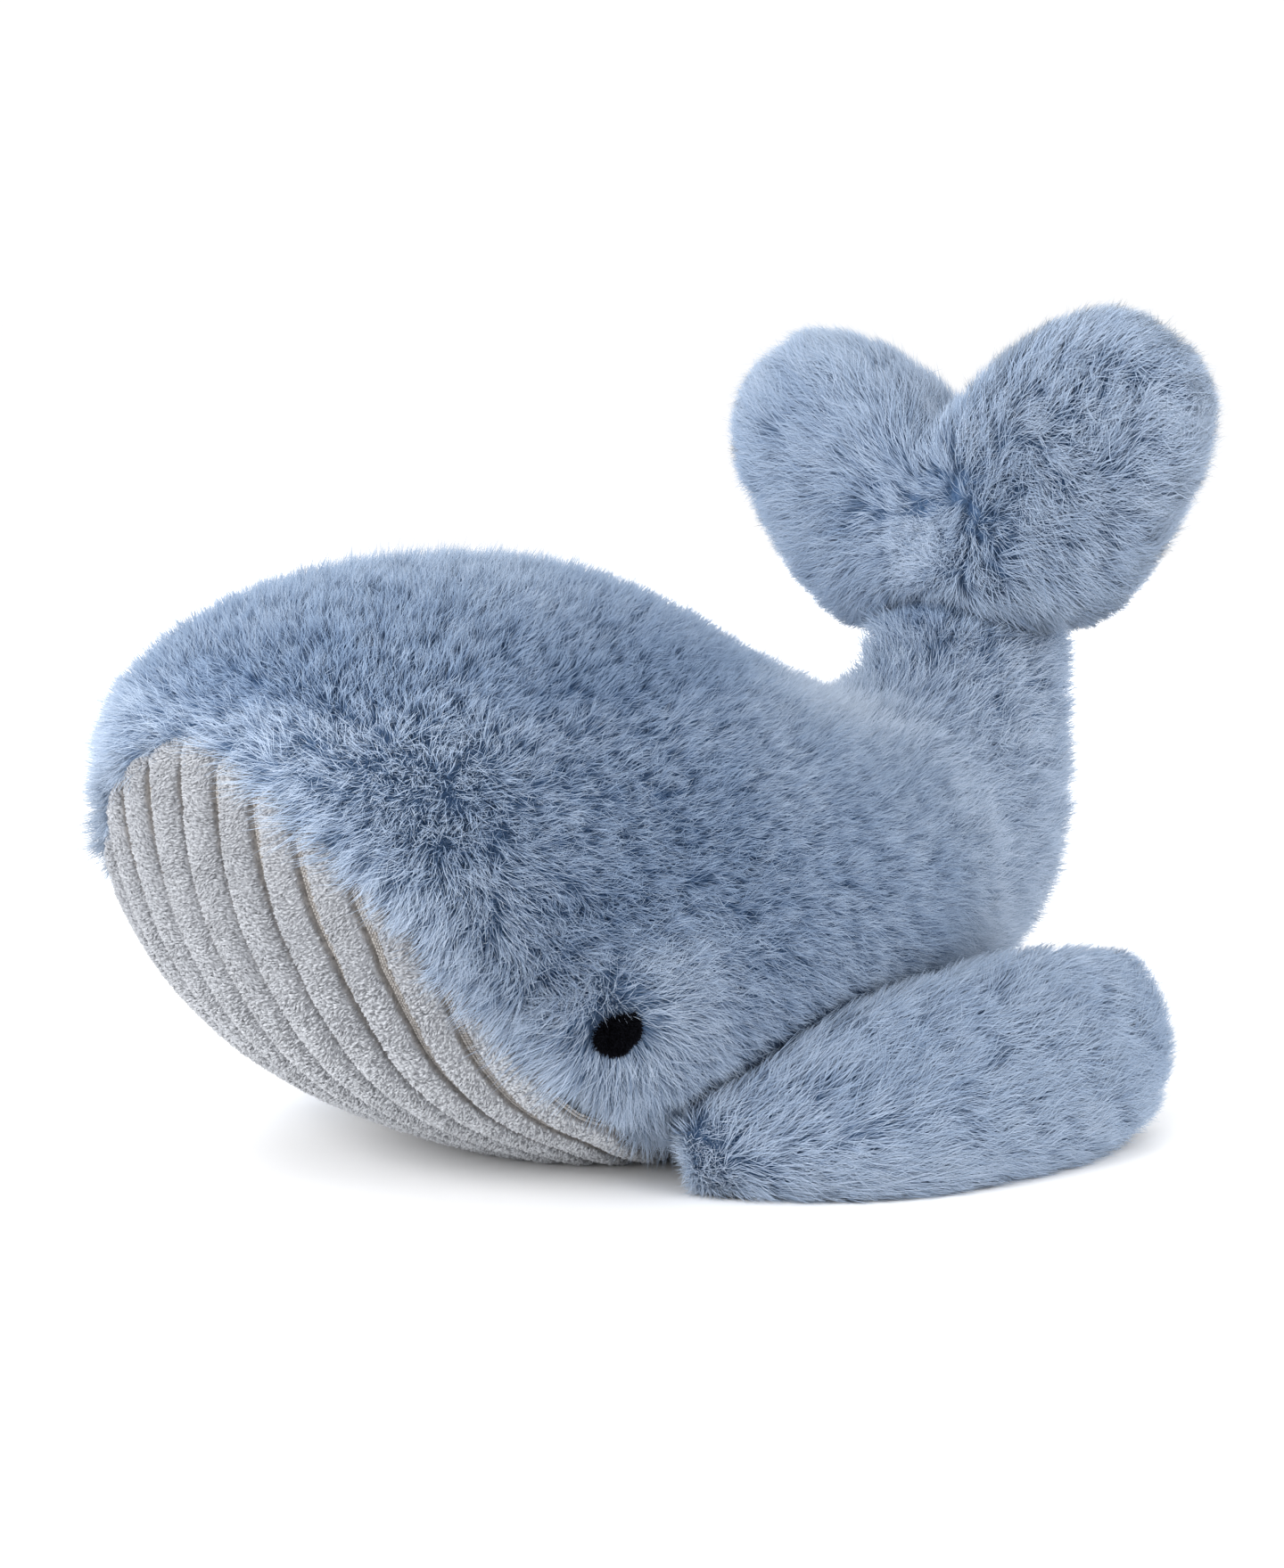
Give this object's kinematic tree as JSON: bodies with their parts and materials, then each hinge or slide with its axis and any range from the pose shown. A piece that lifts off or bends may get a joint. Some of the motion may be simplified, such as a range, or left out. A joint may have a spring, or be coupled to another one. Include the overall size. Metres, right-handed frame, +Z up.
{
  "type": "plush whale",
  "caption": "Stuffed long-pile whale lying on its belly, with a ribbed belly panel, stuffed flippers that lift at their root seams, and an upturned tail with a two-lobed fluke.",
  "frame": {"origin": "middle of the length and of the width, on the surface that the belly lies on", "axes": "+Z up, nose towards -Y, the whale's left side towards +X"},
  "size_m": [0.3072, 0.3961, 0.2792],
  "materials": {
    "pile_fabric": "long brushed pile, soft and matt",
    "ribbed_fabric": "short pebbly pile in wide ribs",
    "fibre_filling": "loose white polyester fibre",
    "pouch_cloth": "plain woven cotton",
    "pellet_plastic": "small round pellets",
    "eye_pile": "short black pile"
  },
  "bodies": {
    "root": {"body_shell_left": "pile_fabric", "body_shell_right": "pile_fabric", "belly_panel": "ribbed_fabric", "body_stuffing": "fibre_filling", "pellet_pouch_upper": "pouch_cloth", "pellet_pouch_lower": "pouch_cloth", "pellets": "pellet_plastic", "eye_left": "eye_pile", "eye_right": "eye_pile"},
    "tail": {"tail_shell_left": "pile_fabric", "tail_shell_right": "pile_fabric", "tail_stuffing": "fibre_filling"},
    "fluke": {"fluke_front_panel": "pile_fabric", "fluke_back_panel": "pile_fabric", "fluke_stuffing": "fibre_filling"},
    "left_flipper": {"left_flipper_outer_panel": "pile_fabric", "left_flipper_inner_panel": "pile_fabric", "left_flipper_stuffing": "fibre_filling"},
    "right_flipper": {"right_flipper_outer_panel": "pile_fabric", "right_flipper_inner_panel": "pile_fabric", "right_flipper_stuffing": "fibre_filling"}
  },
  "joints": [
    {"name": "tail_bend", "type": "hinge", "parent": "root", "child": "tail", "pos_m": [0, 0.14575, 0.1045], "axis": [1, 0, 0], "range_deg": [-12, 12], "stiffness_Nm_per_rad": 1.5},
    {"name": "fluke_fold", "type": "hinge", "parent": "tail", "child": "fluke", "pos_m": [0, 0.16075, 0.163], "axis": [0.9976, 0, 0.0698], "range_deg": [-20, 20], "stiffness_Nm_per_rad": 0.6},
    {"name": "left_flipper_lift", "type": "hinge", "parent": "root", "child": "left_flipper", "pos_m": [0.086, -0.05925, 0.015], "axis": [0.4848, 0, -0.8746], "range_deg": [0, 60]},
    {"name": "right_flipper_lift", "type": "hinge", "parent": "root", "child": "right_flipper", "pos_m": [-0.086, -0.05925, 0.015], "axis": [0.4848, 0, 0.8746], "range_deg": [0, 60]}
  ]
}
